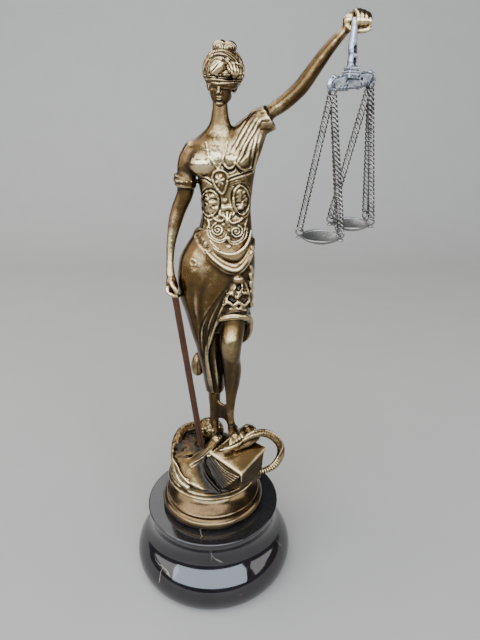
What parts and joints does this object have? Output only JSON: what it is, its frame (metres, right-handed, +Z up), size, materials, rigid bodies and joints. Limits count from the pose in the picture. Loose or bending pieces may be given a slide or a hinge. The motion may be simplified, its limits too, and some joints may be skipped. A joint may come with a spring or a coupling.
{
  "type": "figurine",
  "caption": "Standing robed figure of Justice, blindfolded, one hand on a lowered sword, the other holding up a pair of hanging scales, on a round turned base. Stands as an ornament.",
  "frame": {"origin": "centre of the marble base's flat underside", "axes": "+Z up the figure's height; -Y the way the figure faces; +X towards the raised arm and the scales"},
  "size_m": [0.1077, 0.08, 0.2521],
  "materials": {
    "marble": "polished black marble",
    "socle_bronze": "red-brown patinated bronze",
    "figure_bronze": "cast bronze, brown-gold patina",
    "sword_bronze": "brown patinated bronze",
    "pewter": "cast pewter, soft shine",
    "steel": "bright steel wire",
    "dark_pewter": "pressed pewter, darkened"
  },
  "bodies": {
    "root": {"marble_base": "marble", "bronze_socle": "socle_bronze", "figure": "figure_bronze", "sword": "sword_bronze", "scale_beam": "pewter", "beam_ring_left": "steel", "beam_ring_right": "steel", "pan_left": "dark_pewter", "pan_right": "dark_pewter", "pan_ring_left_1": "steel", "pan_ring_left_2": "steel", "pan_ring_left_3": "steel", "pan_ring_right_1": "steel", "pan_ring_right_2": "steel", "pan_ring_right_3": "steel", "chain_left_1": "steel", "chain_left_2": "steel", "chain_left_3": "steel", "chain_right_1": "steel", "chain_right_2": "steel", "chain_right_3": "steel"}
  },
  "joints": []
}
